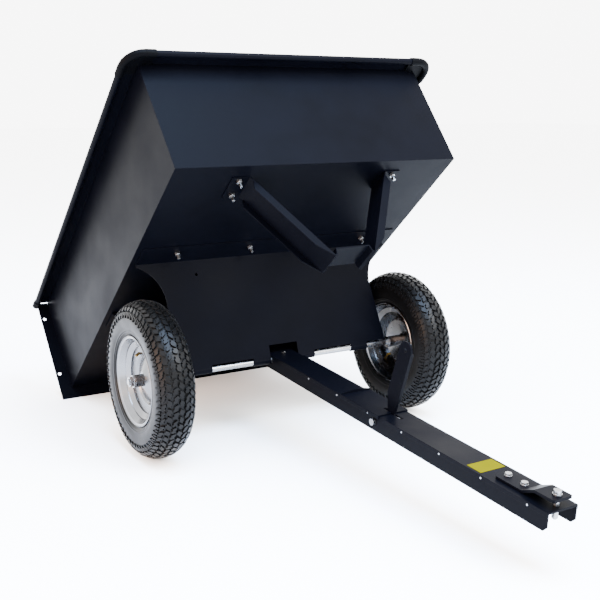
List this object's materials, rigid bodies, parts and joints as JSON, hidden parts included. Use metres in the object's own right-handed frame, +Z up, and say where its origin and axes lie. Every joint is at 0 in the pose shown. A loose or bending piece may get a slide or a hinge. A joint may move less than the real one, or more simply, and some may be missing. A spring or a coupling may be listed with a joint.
{
  "type": "tow behind dump cart",
  "caption": "Tow-behind dump cart: open sheet-metal tray tipping on its axle, spring latch, channel tongue with pin hitch and pneumatic tyres; tailgate off.",
  "frame": {"origin": "on the ground, under the middle of the cart's outline, with the tray tipped back", "axes": "+X to the cart's right along the axle, -Y forwards along the tongue to the hitch, +Z up"},
  "size_m": [0.918, 1.8338, 1.0126],
  "materials": {
    "powder_coat": "satin black powder coat",
    "zinc_plate": "bright zinc plate",
    "rim_silver": "silver paint",
    "bearing_steel": "machined",
    "valve_brass": "satin",
    "tyre_rubber": "matt",
    "moulded_plastic": "matt black",
    "label": "plain yellow sticker"
  },
  "bodies": {
    "drawbar": {"axle": "zinc_plate", "axle_spacers": "zinc_plate", "axle_washers": "zinc_plate", "axle_nuts": "zinc_plate", "axle_lock_bolt": "zinc_plate", "axle_lock_nut": "zinc_plate", "tongue_channel": "powder_coat", "tongue_cover": "powder_coat", "tongue_rivets": "zinc_plate", "tongue_label": "label", "latch_saddle": "powder_coat", "latch_pivot_bolt": "zinc_plate", "latch_pivot_nut": "zinc_plate", "latch_spring": "zinc_plate", "hitch_strap": "powder_coat", "hitch_bolts": "zinc_plate", "hitch_nuts": "zinc_plate"},
    "tray": {"tray_floor": "powder_coat", "tray_front": "powder_coat", "tray_side_left": "powder_coat", "tray_side_right": "powder_coat", "corner_cap_left": "moulded_plastic", "corner_cap_right": "moulded_plastic", "rim_end_cap_left": "moulded_plastic", "rim_end_cap_right": "moulded_plastic", "bracket_front": "powder_coat", "bracket_rear": "powder_coat", "bracket_bolts": "zinc_plate", "bracket_nuts": "zinc_plate", "latch_stand": "powder_coat", "stand_bolts": "zinc_plate", "stand_nuts": "zinc_plate"},
    "wheel_left": {"tyre_left": "tyre_rubber", "wheel_rim_left": "rim_silver", "hub_left": "rim_silver", "bearings_left": "bearing_steel", "valve_stem_left": "valve_brass"},
    "wheel_right": {"tyre_right": "tyre_rubber", "wheel_rim_right": "rim_silver", "hub_right": "rim_silver", "bearings_right": "bearing_steel", "valve_stem_right": "valve_brass"},
    "lever": {"latch_lever": "powder_coat"},
    "pin": {"hitch_pin": "zinc_plate"}
  },
  "joints": [
    {"name": "tray_tip", "type": "hinge", "parent": "drawbar", "child": "tray", "pos_m": [0, 0.10854, 0.203], "axis": [1, 0, 0], "range_deg": [0, 48.28]},
    {"name": "wheel_left_spin", "type": "hinge", "parent": "drawbar", "child": "wheel_left", "pos_m": [-0.396, 0.10854, 0.203], "axis": [1, 0, 0], "continuous": true},
    {"name": "wheel_right_spin", "type": "hinge", "parent": "drawbar", "child": "wheel_right", "pos_m": [0.396, 0.10854, 0.203], "axis": [1, 0, 0], "continuous": true},
    {"name": "latch_pull", "type": "hinge", "parent": "drawbar", "child": "lever", "pos_m": [0, -0.36997, 0.16494], "axis": [1, 0, 0], "range_deg": [0, 30], "stiffness_Nm_per_rad": 2, "springref_deg": -22.92},
    {"name": "hitch_pin_lift", "type": "slide", "parent": "drawbar", "child": "pin", "axis": [0, -0.071, 0.9975], "range_m": [0, 0.07]}
  ]
}
